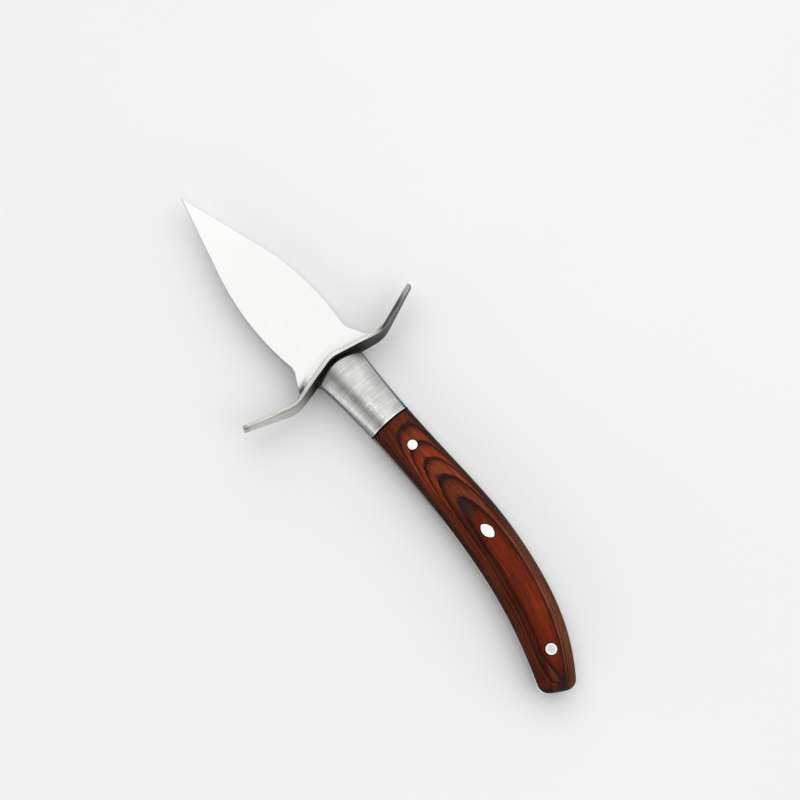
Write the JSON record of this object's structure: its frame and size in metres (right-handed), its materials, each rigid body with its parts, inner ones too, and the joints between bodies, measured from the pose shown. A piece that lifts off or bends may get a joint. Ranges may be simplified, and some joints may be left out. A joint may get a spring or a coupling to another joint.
{
  "type": "oyster knife",
  "caption": "Oyster knife with a flat leaf-shaped steel blade, a bent steel guard, brushed steel bolsters and a curved laminated wood handle on a full tang.",
  "frame": {"origin": "on the blade's middle plane, where the knife's axis meets the front of the guard", "axes": "+X along the blade towards its point, +Z square to the blade's flats, +Y the side to which the handle droops"},
  "size_m": [0.1737, 0.0614, 0.012],
  "materials": {
    "blade_steel": "fine satin grind",
    "guard_steel": "polished strip",
    "bolster_steel": "brushed across the handle",
    "pin_steel": "ground flush",
    "handle_wood": "satin varnish on laminated red-brown veneers"
  },
  "bodies": {
    "root": {"blade": "blade_steel", "guard": "guard_steel", "upper_bolster": "bolster_steel", "lower_bolster": "bolster_steel", "front_bolster_pin": "pin_steel", "rear_bolster_pin": "pin_steel", "upper_scale": "handle_wood", "lower_scale": "handle_wood", "front_pin": "pin_steel", "middle_pin": "pin_steel", "rear_pin": "pin_steel"}
  },
  "joints": []
}
